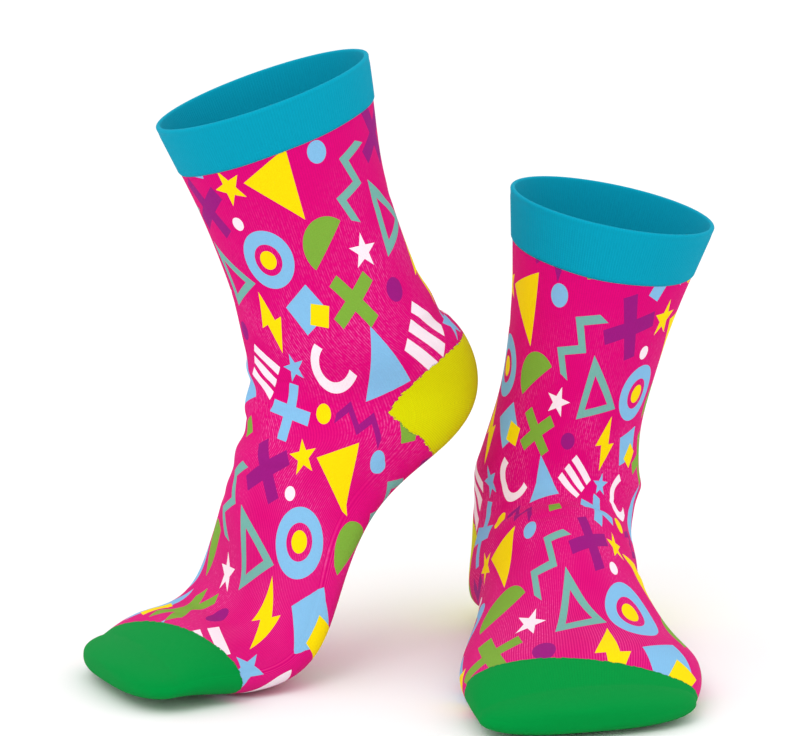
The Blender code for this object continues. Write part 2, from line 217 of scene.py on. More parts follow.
#   figure, x, y, turn, size, colour
PRINT = (
    ("cross", 16, 112, 24, 26, "purple"),
    ("star", 37, 118, 12, 16, "yellow"),
    ("triangle", 60, 111, 197, 27, "yellow"),
    ("disc", 81, 119, 0, 9, "sky"),
    ("zigzag", 93, 102, 62, 32, "sage"),
    ("disc", 31, 103, 0, 6, "white"),
    ("ring", 38, 84, 0, 29, "sky"),
    ("disc", 38, 84, 0, 9, "yellow"),
    ("half", 71, 81, 38, 26, "leaf"),
    ("star", 88, 73, -10, 16, "white"),
    ("frame", 7, 82, 20, 29, "sage"),
    ("bolt", 25, 55, 14, 32, "yellow"),
    ("square", 49, 57, 28, 17, "sky"),
    ("square", 55, 53, 70, 10, "yellow"),
    ("cross", 75, 55, 35, 26, "leaf"),
    ("disc", 99, 53, 0, 10, "purple"),
    ("bars", 7, 31, 52, 23, "white"),
    ("star", 32, 31, 8, 15, "sky"),
    ("arc", 57, 31, 140, 27, "white"),
    ("triangle", 83, 27, 12, 27, "sky"),
    ("cross", 26, 10, 75, 26, "sky"),
    ("disc", 48, 9, 0, 9, "yellow"),
    ("zigzag", 69, 6, -20, 27, "purple"),
    ("square", 96, 4, 15, 8, "leaf"),
)
PRINT_ORDER = ("sage", "purple", "sky", "leaf", "white", "yellow")
# The worn sock draws the print narrower, and longer by a factor that grows with the
# distance down from the hem, in millimetres.
STRETCH_ACROSS = 0.94
STRETCH_ALONG = {
    "left": ((0, 1.2), (100, 1.2), (145, 1.5), (190, 1.5), (235, 1.75)),
    "right": ((0, 1.16), (95, 1.16), (130, 1.35), (190, 1.35), (230, 1.5)),
}

# Knit relief and gloss
STITCH_RELIEF = 0.0002
STITCH_GLOSS = 0.03
FUZZ = 0.02
FUZZ_ROUGHNESS = 0.5

# Pale yarn in the pink cloth, and painted shade in its grooves
MARL_START = 12.0  # millimetres below the hem where the pale patches begin
MARL_RISE = 0.016
MARL_SHARE = 0.95
PATCH_SCALE = 0.03
STRETCHED_SHARE = 0.45
STRETCHED_REACH = 1.5
STRETCHED_FADE = 0.011  # a millimetre back from the toe seam
# Painted shade in the grooves between wales, deeper where the knit is stretched
GROOVE_SHADE_SHARE = 0.6
STRETCHED_GROOVE_SHADE_SHARE = 0.4

# Edges of the heel and the toe cap
TOOTH = 1.1  # how far a stitch of their yarn comes over the pink cloth
TOOTH_FRAY = 0.5
TOE_TOOTH_SHARE = 0.6
SEAM_WIDTH = 0.2
TOE_SEAM_WIDTH = 0.15
SEAM_SHARE = 0.4
HEM_WIDTH = 0.5
SLACK = 0.0001  # millimetres, for a distance that is meant to be zero

FLOOR = -0.2151
FLOOR_SIZE = 60.0
FLOOR_COLOUR = (0.93, 0.93, 0.93, 1.0)
STUDIO_WHITE = (1.0, 1.0, 1.0, 1.0)
STUDIO_LIGHT = 1.12
#   name, place, size, watts
LAMPS = (
    ("key", (-0.9, -1.6, 1.5), 1.2, 10.0),
    ("fill", (1.4, -1.2, 0.9), 1.8, 2.0),
)
TARGET = (-0.10548, -0.07370, -0.07002)
CAMERA_DISTANCE = 1.3545
CAMERA_ELEVATION = 8.35
LENS = 128.3


def spline_bends(rows):
    """Second differences of a natural cubic spline through the rows."""
    count = len(rows)
    system = np.eye(count)
    pull = np.zeros_like(rows)
    for i in range(1, count - 1):
        system[i, i - 1] = system[i, i + 1] = 1.0
        system[i, i] = 4.0
        pull[i] = 6.0 * (rows[i + 1] - 2.0 * rows[i] + rows[i - 1])
    return np.linalg.solve(system, pull)


SECTION_ROWS = np.array(SECTIONS)
SECTION_BENDS = spline_bends(SECTION_ROWS)


def section_at(row):
    """Every column of the table at fractional rows, on a smooth curve through them."""
    low = np.clip(np.floor(row).astype(int), 0, LAST_SECTION - 1)
    b = (row - low)[..., None]
    a = 1.0 - b
    values = a * SECTION_ROWS[low] + b * SECTION_ROWS[low + 1]
    values += ((a**3 - a) * SECTION_BENDS[low] + (b**3 - b) * SECTION_BENDS[low + 1]) / 6.0
    return dict(zip(SECTION_COLUMNS, np.moveaxis(values, -1, 0)))


def turned(points, pivot, axis, degrees):
    """Points turned about a pivot, each by its own angle, round axis 0, 1 or 2."""
    first, second = (axis + 1) % 3, (axis + 2) % 3
    angle = np.radians(degrees)
    arm = points - pivot
    result = arm.copy()
    result[..., first] = np.cos(angle) * arm[..., first] - np.sin(angle) * arm[..., second]
    result[..., second] = np.sin(angle) * arm[..., first] + np.cos(angle) * arm[..., second]
    return result + pivot


def power(value, exponent):
    return np.sign(value) * np.abs(value) ** exponent


def smooth_surface(sock, row, angle):
    """Points of the sock's outer surface without folds, at rows and angles (radians)."""
    pose = SOCKS[sock]
    row, angle = np.broadcast_arrays(np.asarray(row, float), np.asarray(angle, float))
    section = section_at(np.minimum(row, LAST_SECTION))
    dome = np.clip(row - LAST_SECTION, 0.0, 1.0) * np.radians(TIP_TURN)
    wide = np.cos(dome) ** TIP_PLAN_POWER
    high = np.cos(dome) ** TIP_SIDE_POWER
    reach = TIP * np.sin(dome)

    squareness = np.where(np.cos(angle) > 0, 0.0, np.clip(section["sole"], 0.0, 1.0))
    exponent = 2.0 / (2.0 + SOLE_SQUARENESS * squareness)
    along = power(np.cos(angle), exponent)
    across = power(np.sin(angle), exponent)
    middle_y = (section["front_y"] + section["back_y"]) / 2.0
    middle_z = (section["front_z"] + section["back_z"]) / 2.0
    half_y = (section["front_y"] - section["back_y"]) / 2.0
    half_z = (section["front_z"] - section["back_z"]) / 2.0
    depth = np.hypot(half_y, half_z)

    x = wide * section["half"] * across * (1.0 - section["taper"] * along)
    x = x + section["inward"]
    high = high * (1.0 - TIP_DROP * np.sin(dome) * (along > 0))
    y = middle_y + high * along * half_y - reach * half_z / depth - section["slant"] * x
    z = middle_z + high * along * half_z + reach * half_y / depth
    above = np.maximum(z - ANKLE_PIVOT[2], 0.0)
    z = z + (pose["stretch"] - 1.0) * above * section["leg"]
    points = np.stack((x * pose["side"], y, z), axis=-1)

    points = turned(points, BALL_PIVOT, 0, -pose["toe"] * section["toe"])
    points = turned(points, ANKLE_PIVOT, 2, pose["twist"] * section["leg"])
    points = turned(points, ANKLE_PIVOT, 0, pose["ankle"] * section["leg"])
    points = turned(points, ANKLE_PIVOT, 1, pose["lean"] * section["leg"])
    points = turned(points, 0.0, 0, pose["pitch"])
    points = turned(points, 0.0, 2, pose["yaw"])
    return points + np.array(pose["place"])


def mouth_centre(sock):
    front, back = smooth_surface(sock, RIM_ROW, np.array((0.0, pi)))
    return (front + back) / 2.0


ORIGIN = mouth_centre("left")


def surface_frame(sock, row, angle):
    """Unit vectors outwards and down the sock."""
    step = 0.02
    ahead = np.minimum(row + step, TIP_ROW)
    inside = np.maximum(row - step, RIM_ROW)
    down = smooth_surface(sock, ahead, angle) - smooth_surface(sock, inside, angle)
    down = down / np.linalg.norm(down, axis=-1, keepdims=True)
    around = smooth_surface(sock, row, angle + step) - smooth_surface(sock, row, angle - step)
    out = np.cross(down, around) * SOCKS[sock]["side"]
    return out / np.linalg.norm(out, axis=-1, keepdims=True), down


def fold_height(sock, row, angle):
    """How far the folds and creases lift the cloth."""
    height = np.zeros(np.shape(row))
    for owner, middle_row, middle, reach, climb, width, lift in FOLDS + CREASES:
        if owner != sock:
            continue
        offset = (np.degrees(angle) - middle + 180.0) % 360.0 - 180.0
        fade = np.cos(np.clip(offset / reach, -1.0, 1.0) * pi / 2.0) ** 2
        crest = middle_row + climb * offset / 360.0
        height += lift * fade * np.exp(-(((row - crest) / width) ** 2))
    return height


def cloth_point(sock, row, angle, out=0.0, up=0.0):
    """A point of the cloth, moved out from its surface and up along it, in millimetres."""
    row, angle = np.broadcast_arrays(np.asarray(row, float), np.asarray(angle, float))
    outwards, down = surface_frame(sock, row, angle)
    lift = np.asarray(fold_height(sock, row, angle) + out)[..., None]
    point = smooth_surface(sock, row, angle) + outwards * lift
    return point - down * np.asarray(up)[..., None] - ORIGIN


def hem_edge(angle):
    return HEM_ROW + HEM_DIP * np.cos(angle)


def heel_window(angle):
    """How far the heel window is open at an angle, 0 at its corners and beyond."""
    from_back = np.minimum((pi - np.abs(angle)) / (2.0 * pi * HEEL_SHARE), 1.0)
    return 1.0 - from_back**HEEL_SQUARENESS


def heel_top_edge(angle):
    return HEEL_CORNER_ROW - HEEL_RISE * heel_window(angle)


def heel_bottom_edge(angle):
    return HEEL_CORNER_ROW + HEEL_FALL * heel_window(angle)


def toe_edge(angle):
    return TOE_ROW - TOE_LAG * np.sin(angle)


def course_table():
    """Courses counted from the cuff's rim at each row, from the mean length of the wales."""
    rows = np.linspace(RIM_ROW, TIP_ROW, 400)
    angles = np.radians(np.arange(-180, 180, 15))
    points = smooth_surface("left", rows[:, None], angles[None, :])
    steps = np.linalg.norm(np.diff(points, axis=0), axis=-1).mean(axis=1)
    return rows, np.concatenate(((0.0,), np.cumsum(steps))) / COURSE_PITCH


COURSE_ROWS, COURSE_COUNTS = course_table()


def courses(row):
    return np.interp(row, COURSE_ROWS, COURSE_COUNTS)


class Patch:
    """A grid of cloth: the place, point number and maps of each of its corners."""

    def __init__(self, rows, angles, numbers):
        self.rows, self.angles = np.broadcast_arrays(rows, angles)
        self.numbers = numbers
        self.maps = {"knit": np.stack((self.angles / (2 * pi) * WALES, courses(self.rows)), -1)}

    def points(self, sock):
        return cloth_point(sock, self.rows, self.angles)

    def cells(self):
        """Row and column of each corner of each cell, four to a cell."""
        height, width = self.numbers.shape
        row, column = np.mgrid[0 : height - 1, 0 : width - 1]
        rows = np.stack((row, row + 1, row + 1, row), -1).reshape(-1, 4)
        columns = np.stack((column, column, column + 1, column + 1), -1).reshape(-1, 4)
        return rows, columns


def round_angles(columns):
    """Angles from the middle of the back all the way round to it again."""
    return np.linspace(-pi, pi, columns + 1)


def numbered(height, columns, start):
    """Point numbers of a closed grid, whose last column is its first."""
    numbers = start + np.arange(height * columns).reshape(height, columns)
    return np.concatenate((numbers, numbers[:, :1]), axis=1)


def tube_patches(columns, leg_steps, foot_steps):
    """Leg and foot, which share their points except at the heel window."""
    angles = round_angles(columns)
    share = np.linspace(0.0, 1.0, leg_steps + 1)[:, None]
    start, end = hem_edge(angles) + JOIN, heel_top_edge(angles)
    leg = Patch(start + (end - start) * share, angles, numbered(leg_steps + 1, columns, 0))
    share = np.linspace(0.0, 1.0, foot_steps + 1)[:, None]
    start, end = heel_bottom_edge(angles), toe_edge(angles)
    numbers = numbered(foot_steps + 1, columns, leg.numbers[-1, -2] + 1)
    corner = round(columns * HEEL_SHARE)
    numbers[0, corner : columns - corner + 1] = leg.numbers[-1, corner : columns - corner + 1]
    foot = Patch(start + (end - start) * share, angles, numbers)
    return leg, foot


def heel_patch():
    """Heel pocket, from corner to corner round the back."""
    reach = round(COLUMNS * HEEL_SHARE)
    turn = np.linspace(-1.0, 1.0, 2 * reach + 1) * 2.0 * pi * HEEL_SHARE
    from_back = np.abs(turn) / (2.0 * pi * HEEL_SHARE)
    window = 1.0 - from_back**HEEL_SQUARENESS
    top = HEEL_CORNER_ROW - HEEL_RISE * window + JOIN
    bottom = HEEL_CORNER_ROW + HEEL_FALL * window - JOIN
    top, bottom = np.minimum(top, HEEL_CORNER_ROW), np.maximum(bottom, HEEL_CORNER_ROW)
    share = np.linspace(0.0, 1.0, HEEL_STEPS + 1)[:, None]
    rows = top + (bottom - top) * share
    inner = 2 * reach - 1
    numbers = 2 + np.arange((HEEL_STEPS + 1) * inner).reshape(HEEL_STEPS + 1, inner)
    ends = np.zeros((HEEL_STEPS + 1, 1), int)
    patch = Patch(rows, pi + turn, np.concatenate((ends, numbers, ends + 1), axis=1))
    # Its courses follow the window's edges and meet in a mitre.
    count = courses(rows)
    patch.maps["knit"][..., 1] = np.minimum(count - count[:1], count[-1:] - count)
    return patch


def toe_patch():
    angles = round_angles(COLUMNS)
    share = np.linspace(0.0, 1.0, TOE_STEPS + 1)[:, None]
    start = toe_edge(angles) + JOIN
    rows = start + (TIP_ROW - start) * share
    return Patch(rows, angles, numbered(TOE_STEPS + 1, COLUMNS, 0))


def nearest_on(line, places):
    """How far each place is from the nearest of a line's points."""
    tree = KDTree(len(line))
    for number, point in enumerate(line):
        tree.insert(point, number)
    tree.balance()
    distances = [tree.find(place)[2] for place in places.reshape(-1, 3)]
    return np.array(distances).reshape(places.shape[:-1])


def map_edges(sock, leg, foot):
    """Adds a map of how many millimetres each corner is from the heel window, and from the
    cuff's hem on the leg or, with a minus sign, from the toe seam on the foot."""
    around = np.linspace(-pi, pi, EDGE_POINTS)
    share = np.linspace(-1.0, 1.0, EDGE_POINTS) * HEEL_SHARE * 2.0
    back = np.where(share < 0.0, share + 1.0, share - 1.0) * pi
    window = [cloth_point(sock, edge(back), back) for edge in (heel_top_edge, heel_bottom_edge)]
    window = np.concatenate(window)
    for patch, edge, sign in ((leg, hem_edge, 1.0), (foot, toe_edge, -1.0)):
        places = patch.points(sock)
        ring = cloth_point(sock, edge(around), around)
        both = (nearest_on(window, places), sign * nearest_on(ring, places))
        patch.maps["edge"] = np.stack(both, -1)


def make_mesh(name, sock, patches, points=None, close_tip=False):
    """A mesh of the patches' cells with their maps, its faces outwards."""
    count = 1 + max(int(patch.numbers.max()) for patch in patches)
    place = np.zeros((count, 3))
    faces, corners = [], {name: [] for name in patches[0].maps}
    flip = SOCKS[sock]["side"] < 0
    for index, patch in enumerate(patches):
        place[patch.numbers] = patch.points(sock) if points is None else points[index]
        rows, columns = patch.cells()
        if flip:
            rows, columns = rows[:, ::-1], columns[:, ::-1]
        cells = patch.numbers[rows, columns]
        for cell, row, column in zip(cells.tolist(), rows, columns):
            kept = [i for i in range(4) if cell[i] != cell[i - 1]]
            if len(kept) > 2:
                faces.append([cell[i] for i in kept])
                for key, values in corners.items():
                    values.extend(patch.maps[key][row[kept], column[kept]])
    if close_tip:
        ring = patches[-1].numbers[-1]
        last = patches[-1].maps
        half = (len(ring) - 1) // 2
        for i in range(half):
            face = [i, i + 1, len(ring) - 2 - i, len(ring) - 1 - i]
            face = list(dict.fromkeys(face))
            if ring[face[0]] == ring[face[-1]]:
                face = face[:-1]
            if len({int(ring[k]) for k in face}) < 3:
                continue
            face = face[::-1] if not flip else face
            faces.append([int(ring[k]) for k in face])
            for key, values in corners.items():
                values.extend(last[key][-1, face])
    every_corner = np.concatenate([np.array(face) for face in faces])
    used, compact = np.unique(every_corner, return_inverse=True)
    ends = np.cumsum([len(face) for face in faces])
    faces = [part.tolist() for part in np.split(compact, ends[:-1])]
    mesh = bpy.data.meshes.new(name)
    mesh.from_pydata((place[used] * MM).tolist(), [], faces)
    for key, values in corners.items():
        layer = mesh.uv_layers.new(name=key)
        layer.data.foreach_set("uv", np.array(values, np.float32).ravel())
    mesh.shade_smooth()
    thing = bpy.data.objects.new(name, mesh)
    bpy.context.scene.collection.objects.link(thing)
    return thing


def select_only(thing):
    bpy.ops.object.select_all(action="DESELECT")
    thing.select_set(True)
    bpy.context.view_layer.objects.active = thing


def lay_out_print(sock):
    """Flattens the tube, slit down the back and along the sole, and returns the place in
    the print, in millimetres, of every corner of a coarse leg and foot grid."""
    patches = tube_patches(
        COLUMNS // FLAT_SHARE, LEG_STEPS // FLAT_SHARE, FOOT_STEPS // FLAT_SHARE
    )
    smooth = [smooth_surface(sock, p.rows, p.angles) for p in patches]
    for patch in patches:  # remember each corner's row and column
        height, width = patch.numbers.shape
        row, column = np.mgrid[0:height, 0:width]
        patch.maps = {"flat": np.zeros((height, width, 2)), "corner": np.stack((row, column), -1)}
    patches[1].maps["corner"][..., 0] += FOOT_MARK
    tube = make_mesh("print_layout", sock, patches, smooth)
    mesh = tube.data
    order = np.zeros(len(mesh.loops) * 2, np.float32)
    mesh.uv_layers["corner"].data.foreach_get("uv", order)
    order = order.reshape(-1, 2).round().astype(int)
    mesh.uv_layers.active = mesh.uv_layers["flat"]
    width = patches[0].numbers.shape[1] - 1
    slit = {}
    for loop, (_, column) in zip(mesh.loops, order):
        slit.setdefault(loop.vertex_index, set()).add(column)
    for edge in mesh.edges:
        edge.use_seam = all(0 in slit[v] and width in slit[v] for v in edge.vertices)
    select_only(tube)
    bpy.ops.object.mode_set(mode="EDIT")
    bpy.ops.mesh.select_all(action="SELECT")
    bpy.ops.uv.unwrap(method="ANGLE_BASED", margin=0.0)
    bpy.ops.object.mode_set(mode="OBJECT")
    flat = np.zeros(len(mesh.loops) * 2, np.float32)
    mesh.uv_layers["flat"].data.foreach_get("uv", flat)
    flat = flat.reshape(-1, 2).astype(float)
    areas = np.zeros(len(mesh.polygons))
    mesh.polygons.foreach_get("area", areas)
    flat_area = 0.0
    for face in mesh.polygons:
        x, y = flat[list(face.loop_indices)].T
        flat_area += abs(np.dot(x, np.roll(y, -1)) - np.dot(y, np.roll(x, -1))) / 2.0
    flat *= (areas.sum() / flat_area) ** 0.5 / MM
    tables = []
    for number, patch in enumerate(patches):
        table = np.zeros(patch.numbers.shape + (2,))
        mine = (order[:, 0] >= FOOT_MARK) == (number == 1)
        rows = order[mine, 0] - FOOT_MARK * number
        table[rows, order[mine, 1]] = flat[mine]
        tables.append(table)
    # The front line of the leg points up the print.
    middle = width // 2
    top, low = tables[0][0, middle], tables[0][-1, middle]
    turn = atan2(top[0] - low[0], top[1] - low[1])
    about = np.array(((cos(turn), sin(turn)), (-sin(turn), cos(turn))))
    bpy.data.objects.remove(tube)
    return [drawn_out(sock, (table - top) @ about) for table in tables]


def drawn_out(sock, table):
    """The places in the print that the worn sock's places come from."""
    down = np.arange(0.0, 400.0)
    shorter = 1.0 / np.interp(down, *zip(*STRETCH_ALONG[sock]))
    in_print = np.cumsum(shorter) - shorter[0]
    across, along = table[..., 0], -table[..., 1]
    along = np.where(along < 0.0, along * shorter[0], np.interp(along, down, in_print))
    return np.stack((across / STRETCH_ACROSS, -along), -1)


def finer(table, times):
    """The table with its cells divided evenly."""
    for axis, shape in ((0, (-1, 1, 1)), (1, (1, -1, 1))):
        count = table.shape[axis]
        place = np.linspace(0, count - 1, (count - 1) * times + 1)
        low = np.minimum(place.astype(int), count - 2)
        share = (place - low).reshape(shape)
        table = np.take(table, low, axis) * (1 - share) + np.take(table, low + 1, axis) * share
    return table


def dress(thing, nodes):
    """Hangs a finished piece on the part."""
    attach(thing, "root")
    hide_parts(*nodes)


def thicken(thing, wall, lining=None):
    """Gives a sheet its wall inwards and closes its edges."""
    select_only(thing)
    if lining:
        thing.data.materials.append(lining)
    solidify = thing.modifiers.new("wall", "SOLIDIFY")
    solidify.thickness = wall * MM
    solidify.offset = -1.0
    solidify.use_rim = True
    if lining:
        solidify.material_offset = 1
        solidify.material_offset_rim = 0
    bpy.ops.object.modifier_apply(modifier=solidify.name)
    bpy.ops.object.shade_smooth_by_angle(angle=radians(EDGE_ANGLE))


def make_cuff(sock, material):
    """Welt: ribbed outside and inside, smooth over the fold at its top."""
    columns = WALES * RIB_COLUMNS
    angles = round_angles(columns)
    radius = CUFF_WALL / 2.0
    core = CUFF_PROUD - radius
    rib = RIB_HEIGHT * (0.5 + 0.5 * np.cos(angles * WALES))
    hem = hem_edge(angles)
    rings = []

    def ring(share, out, up, ribbed):
        row = RIM_ROW + (hem - RIM_ROW) * share
        waver = 0.3 + 0.18 * np.sin(3 * angles + 1.3) + 0.12 * np.sin(7 * angles + 0.4)
        rings.append(cloth_point(sock, row, angles, out + rib * ribbed, up - waver * share**8))

    for i in range(CUFF_STEPS + 1):
        share = 1.0 - i / CUFF_STEPS
        from_hem, from_rim = (1.0 - share) * CUFF_DEPTH, share * CUFF_DEPTH
        turn_in = 1.0 - (1.0 - min(from_hem / CUFF_TURN_IN, 1.0)) ** 2
        ledge = np.exp(-(((from_rim - CUFF_LEDGE_PLACE) / CUFF_LEDGE_WIDTH) ** 2))
        out = CUFF_EDGE_PROUD + (CUFF_PROUD - CUFF_EDGE_PROUD) * turn_in - CUFF_LEDGE * ledge
        ring(share, out, 0.0, min(1.0, max(0.0, (from_rim - 1.0) / 2.0)))
    for i in range(1, ROLL_STEPS):
        turn = pi * i / ROLL_STEPS
        ring(0.0, core + radius * cos(turn), radius * sin(turn), 0.0)
    for i in range(LINING_STEPS + 1):
        share = i / LINING_STEPS
        ring(share, core - radius, 0.0, -min(1.0, 4.0 * share))
    height = len(rings)
    numbers = numbered(height, columns, 0)
    numbers = np.concatenate((numbers, numbers[:1]), axis=0)[::-1]
    rows = np.zeros((height + 1, 1))
    patch = Patch(rows, angles, numbers)
    step = np.linalg.norm(np.diff(np.array(rings), axis=0), axis=-1).mean(axis=1)
    length = np.concatenate(((0.0,), np.cumsum(step)))
    length = np.append(length, length[-1] + CUFF_WALL)[::-1]
    patch.maps["knit"][..., 1] = length[:, None] / COURSE_PITCH
    places = np.array(rings)
    places = np.concatenate((places, places[:1]), axis=0)[::-1]
    cuff = make_mesh(f"{sock}_cuff", sock, [patch], [places])
    cuff.data.materials.append(material)
    dress(cuff, (f"{sock}_sock_cuff",))


def make_body(sock, material, lining):
    leg, foot = tube_patches(COLUMNS, LEG_STEPS, FOOT_STEPS)
    for patch, table in zip((leg, foot), lay_out_print(sock)):
        patch.maps["print"] = finer(table, FLAT_SHARE)
    map_edges(sock, leg, foot)
    body = make_mesh(f"{sock}_body", sock, [leg, foot])
    body.data.materials.append(material)
    thicken(body, TUBE_WALL, lining)
    nodes = (f"{sock}_sock_leg", f"{sock}_sock_foot")
    dress(body, nodes)


def make_heel(sock, material):
    heel = make_mesh(f"{sock}_heel", sock, [heel_patch()])
    heel.data.materials.append(material)
    thicken(heel, POCKET_WALL)
    dress(heel, (f"{sock}_sock_heel",))


def make_toe(sock, material):
    toe = make_mesh(f"{sock}_toe", sock, [toe_patch()], close_tip=True)
    toe.data.materials.append(material)
    thicken(toe, POCKET_WALL)
    dress(toe, (f"{sock}_sock_toe",))


class Strand:
    """One socket of a finish; arithmetic on it adds Math nodes."""

    def __init__(self, finish, socket):
        self.finish = finish
        self.socket = socket

    def math(self, operation, *values):
        return self.finish.node("ShaderNodeMath", {"operation": operation}, values)

    def __add__(self, other):
        return self.math("ADD", self, other)

    def __sub__(self, other):
        return self.math("SUBTRACT", self, other)

    def __rsub__(self, other):
        return self.math("SUBTRACT", other, self)

    def __mul__(self, other):
        return self.math("MULTIPLY", self, other)

    def __truediv__(self, other):
        return self.math("DIVIDE", self, other)

    def __pow__(self, other):
        return self.math("POWER", self, other)

    def __mod__(self, other):
        return self.math("FLOORED_MODULO", self, other)

    def __abs__(self):
        return self.math("ABSOLUTE", self)

    def __lt__(self, other):
        return self.math("LESS_THAN", self, other)

    def __gt__(self, other):
        return self.math("GREATER_THAN", self, other)

    __radd__ = __add__
    __rmul__ = __mul__


class Finish:
    """A material and its nodes."""

    def __init__(self, name):
        self.material = bpy.data.materials.new(name)
        self.material.use_nodes = True
        self.tree = self.material.node_tree
        self.shader = self.tree.nodes["Principled BSDF"]

    def node(self, kind, settings=None, inputs=(), output=0):
        made = self.tree.nodes.new(kind)
        for name, value in (settings or {}).items():
            setattr(made, name, value)
        pairs = inputs.items() if isinstance(inputs, dict) else enumerate(inputs)
        for key, value in pairs:
            if isinstance(value, Strand):
                self.tree.links.new(value.socket, made.inputs[key])
            else:
                made.inputs[key].default_value = value
        return Strand(self, made.outputs[output])

    def vector(self, operation, *values):
        return self.node("ShaderNodeVectorMath", {"operation": operation}, values)

    def parts(self, vector):
        split = self.node("ShaderNodeSeparateXYZ", None, (vector,))
        outputs = split.socket.node.outputs
        return Strand(self, outputs[0]), Strand(self, outputs[1])

    def map(self, name):
        return self.node("ShaderNodeUVMap", {"uv_map": name})

    def mix(self, share, first, second):
        """Colours mixed: the first where share is 0, the second where it is 1."""
        return self.node(
            "ShaderNodeMix", {"data_type": "RGBA"}, {0: share, 6: first, 7: second}, 2
        )

    def noise(self, place, scale, detail=2.0):
        return self.node(
            "ShaderNodeTexNoise", None, {"Vector": place, "Scale": scale, "Detail": detail}
        )

    def limited(self, value):
        return self.node("ShaderNodeClamp", None, (value, 0.0, 1.0))

    def drive(self, name, value):
        """Links a value to one of the shader's sockets."""
        self.tree.links.new(value.socket, self.shader.inputs[name])


def colour(name):
    """A named sRGB colour as Blender's linear one."""
    srgb = np.array(COLOURS[name]) / 255.0
    linear = np.where(srgb <= 0.04045, srgb / 12.92, ((srgb + 0.055) / 1.055) ** 2.4)
    return (*(float(v) * YARN_SHARE for v in linear), 1.0)


def either(first, *others):
    """The largest of some strands."""
    for other in others:
        first = first.math("MAXIMUM", first, other)
    return first


def both(first, other):
    return first.math("MINIMUM", first, other)


def cross(x, y, size):
    wide, long = abs(x), abs(y)
    return (both(wide, long) < size * 0.125) * (either(wide, long) < size * 0.52)


def triangle_depth(x, y, size):
    """Distance past the sides of a tall triangle, negative inside it."""
    return either((abs(x) + y * 0.45 - size * 0.27) / 1.097, y * -1.0 - size * 0.42)


def triangle(x, y, size):
    return triangle_depth(x, y, size) < 0.0


def frame_figure(x, y, size):
    depth = triangle_depth(x, y, size)
    return (depth < 0.0) * (depth > -size * 0.135)


def radius_of(x, y):
    return (x * x + y * y) ** 0.5


def disc(x, y, size):
    return radius_of(x, y) < size / 2.0


def ring_figure(x, y, size):
    return abs(radius_of(x, y) - size * 0.37) < size * 0.11


def half_disc(x, y, size):
    return (radius_of(x, y) < size / 2.0) * (y > 0.0)


def arc(x, y, size):
    return (abs(radius_of(x, y) - size * 0.41) < size * 0.09) * (y > -size * 0.08)


def square(x, y, size):
    return either(abs(x), abs(y)) < size / 2.0


def star(x, y, size):
    point, notch = size / 2.0, size * 0.2
    angle = x.math("ARCTAN2", x, y)
    turn = abs((angle + pi / 5.0) % (2.0 * pi / 5.0) - pi / 5.0)
    reach = radius_of(x, y)
    normal_x, normal_y = notch * sin(pi / 5.0), point - notch * cos(pi / 5.0)
    along = reach * turn.math("COSINE", turn)
    across = reach * turn.math("SINE", turn)
    return along * normal_x + across * normal_y < point * normal_x


def zigzag(x, y, size):
    wave = x.math("PINGPONG", x + size * 2.0, size / 4.0) * 1.1 - size * 0.14
    return (abs(y - wave) < size * 0.085) * (abs(x) < size * 0.5)


def bolt(x, y, size):
    half = size / 2.0
    side = y.math("SIGN", y)
    middle = y * 0.28 - side * size * 0.075
    return abs(x - middle) < (1.0 - abs(y) / half) * size * 0.17


def bars(x, y, size):
    stripe = (x + size * 0.438) % (size * 0.333) < size * 0.21
    return stripe * (abs(x) < size * 0.438) * (abs(y) < size * 0.48)


FIGURES = {
    "cross": cross,
    "triangle": triangle,
    "frame": frame_figure,
    "disc": disc,
    "ring": ring_figure,
    "half": half_disc,
    "arc": arc,
    "square": square,
    "star": star,
    "zigzag": zigzag,
    "bolt": bolt,
    "bars": bars,
}


def printed(finish, ground):
    """The ground colour with the print's figures over it."""
    place = finish.map("print")
    half = (REPEAT[0] / 2.0, REPEAT[1] / 2.0, 1.0)
    masks = {}
    for name, x, y, turn, size, ink in PRINT:
        local = finish.vector("SUBTRACT", place, (x, y, 0.0))
        local = finish.vector("WRAP", local, half, tuple(-h for h in half))
        local = finish.node(
            "ShaderNodeVectorRotate",
            {"rotation_type": "Z_AXIS"},
            {"Vector": local, "Angle": radians(-turn)},
        )
        mask = FIGURES[name](*finish.parts(local), float(size))
        masks.setdefault(ink, []).append(mask)
    result = ground
    for ink in PRINT_ORDER:
        result = finish.mix(either(*masks[ink]), result, colour(ink))
    return result


